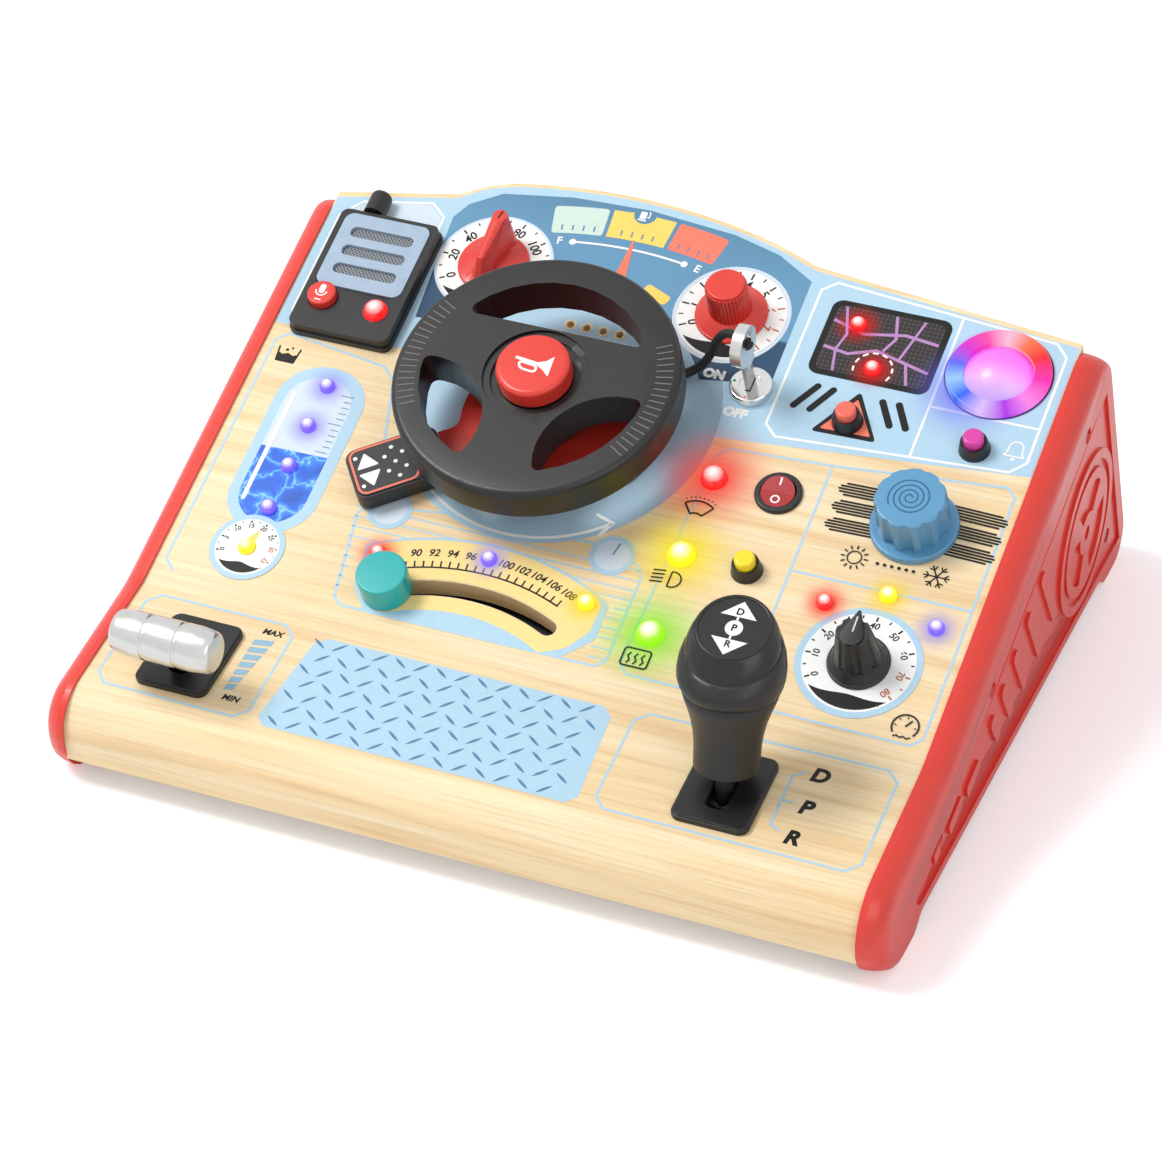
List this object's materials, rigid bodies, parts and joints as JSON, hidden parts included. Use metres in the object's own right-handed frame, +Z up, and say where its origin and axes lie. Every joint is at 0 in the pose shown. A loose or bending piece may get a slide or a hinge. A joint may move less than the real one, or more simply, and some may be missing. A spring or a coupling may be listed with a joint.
{
  "type": "busy board",
  "caption": "Wooden car-dashboard busy board between red end caps, with steering wheel, key, levers, turning knobs, buttons and lamps on a sloping panel.",
  "frame": {"origin": "middle of the board's outline, on the table", "axes": "+X across the board to the right, +Y from the front to the back, +Z up"},
  "size_m": [0.414, 0.3714, 0.1774],
  "materials": {
    "plywood": "satin",
    "board": "matt",
    "red_plastic": "satin",
    "black_plastic": "satin",
    "grey_plastic": "satin",
    "blue_plastic": "satin",
    "pale_plastic": "satin",
    "teal_plastic": "satin",
    "yellow_plastic": "satin",
    "pink_plastic": "satin",
    "chrome": "bright",
    "steel": "plain",
    "red_lamp": "lit",
    "yellow_lamp": "lit",
    "green_lamp": "lit",
    "white_lamp": "lit",
    "violet_lamp": "lit",
    "circuit": "plain",
    "cell": "plain",
    "cord": "braided"
  },
  "bodies": {
    "board": {"fascia_panel": "plywood", "left_cap": "red_plastic", "right_cap": "red_plastic", "rear_panel": "board", "base_panel": "board", "glue_blocks": "board", "cap_screws": "steel", "base_screws": "steel", "battery_tray": "grey_plastic", "battery_door": "grey_plastic", "battery_cells": "cell", "main_board": "circuit", "speaker": "grey_plastic", "radio_case": "black_plastic", "radio_grille": "pale_plastic", "antenna": "black_plastic", "red_lamps": "red_lamp", "yellow_lamps": "yellow_lamp", "green_lamp": "green_lamp", "white_lamps": "white_lamp", "beacon_ring": "violet_lamp", "beacon_dome": "violet_lamp", "gear_plate": "black_plastic", "throttle_plate": "black_plastic", "lever_brackets": "steel", "lever_pins": "steel", "tuner_track": "black_plastic", "column_base": "grey_plastic", "horn_switch": "grey_plastic", "button_switches": "grey_plastic", "knob_pots": "grey_plastic", "lock_body": "chrome", "rocker_bezel": "black_plastic", "button_collars": "black_plastic", "key_cord_lower": "cord"},
    "wheel": {"steering_wheel": "black_plastic"},
    "horn": {"horn_button": "red_plastic"},
    "signal": {"signal_lever": "red_plastic", "signal_paddle": "black_plastic"},
    "speed": {"speed_knob": "red_plastic"},
    "rpm": {"rpm_knob": "red_plastic"},
    "fan": {"fan_knob": "blue_plastic"},
    "bar": {"bar_knob": "black_plastic"},
    "plug": {"lock_plug": "chrome"},
    "key": {"key_blade": "steel", "key_head": "black_plastic", "key_cord_upper": "cord"},
    "rocker": {"rocker": "red_plastic"},
    "hazard": {"hazard_button": "red_plastic"},
    "bell": {"bell_button": "pink_plastic"},
    "lamp": {"lamp_button": "yellow_plastic"},
    "mic": {"mic_button": "red_plastic"},
    "gear": {"gear_lever": "grey_plastic", "gear_knob": "grey_plastic", "gear_cap": "grey_plastic"},
    "throttle": {"throttle_arm": "grey_plastic", "throttle_grip": "chrome"},
    "tuner": {"tuner_knob": "teal_plastic", "tuner_slide": "grey_plastic"}
  },
  "joints": [
    {"name": "steering_turn", "type": "hinge", "parent": "board", "child": "wheel", "pos_m": [-0.037, 0.01207, 0.14276], "axis": [0, -0.3811, 0.9245], "continuous": true},
    {"name": "horn_press", "type": "slide", "parent": "wheel", "child": "horn", "axis": [0, 0.3811, -0.9245], "range_m": [0, 0.0025], "stiffness_N_per_m": 500},
    {"name": "signal_swing", "type": "hinge", "parent": "board", "child": "signal", "pos_m": [-0.037, 0.02312, 0.11595], "axis": [0, -0.3811, 0.9245], "range_deg": [-12, 12]},
    {"name": "speed_turn", "type": "hinge", "parent": "board", "child": "speed", "pos_m": [-0.1002, 0.09988, 0.15408], "axis": [0, -0.3811, 0.9245], "range_deg": [-135, 135]},
    {"name": "rpm_turn", "type": "hinge", "parent": "board", "child": "rpm", "pos_m": [0.0257, 0.09942, 0.15389], "axis": [0, -0.3811, 0.9245], "range_deg": [-135, 135]},
    {"name": "fan_turn", "type": "hinge", "parent": "board", "child": "fan", "pos_m": [0.1507, 0.01113, 0.1175], "axis": [0, -0.3811, 0.9245], "range_deg": [-150, 150]},
    {"name": "bar_turn", "type": "hinge", "parent": "board", "child": "bar", "pos_m": [0.1495, -0.06034, 0.08804], "axis": [0, -0.3811, 0.9245], "range_deg": [-135, 135]},
    {"name": "ignition_turn", "type": "hinge", "parent": "board", "child": "plug", "pos_m": [0.0503, 0.06625, 0.1294], "axis": [0, 0.3811, -0.9245], "range_deg": [0, 90]},
    {"name": "key_pull", "type": "slide", "parent": "plug", "child": "key", "axis": [0, -0.3811, 0.9245], "range_m": [0, 0.015]},
    {"name": "rocker_tip", "type": "hinge", "parent": "board", "child": "rocker", "pos_m": [0.083, 0.01671, 0.1079], "axis": [-1, 0, 0], "range_deg": [0, 16]},
    {"name": "hazard_press", "type": "slide", "parent": "board", "child": "hazard", "axis": [0, 0.3811, -0.9245], "range_m": [0, 0.0025], "stiffness_N_per_m": 500},
    {"name": "bell_press", "type": "slide", "parent": "board", "child": "bell", "axis": [0, 0.3811, -0.9245], "range_m": [0, 0.0025], "stiffness_N_per_m": 500},
    {"name": "lamp_press", "type": "slide", "parent": "board", "child": "lamp", "axis": [0, 0.3811, -0.9245], "range_m": [0, 0.0025], "stiffness_N_per_m": 500},
    {"name": "mic_press", "type": "slide", "parent": "board", "child": "mic", "axis": [0, 0.3811, -0.9245], "range_m": [0, 0.0015], "stiffness_N_per_m": 500},
    {"name": "gear_shift", "type": "hinge", "parent": "board", "child": "gear", "pos_m": [0.116, -0.13856, 0.04566], "axis": [1, 0, 0], "range_deg": [0, 32]},
    {"name": "throttle_push", "type": "hinge", "parent": "board", "child": "throttle", "pos_m": [-0.1515, -0.13561, 0.04621], "axis": [-1, 0, 0], "range_deg": [0, 52]},
    {"name": "tuner_slide", "type": "hinge", "parent": "board", "child": "tuner", "pos_m": [-0.0373, -0.16008, 0.03612], "axis": [0, 0.3811, -0.9245], "range_deg": [0, 48]}
  ]
}
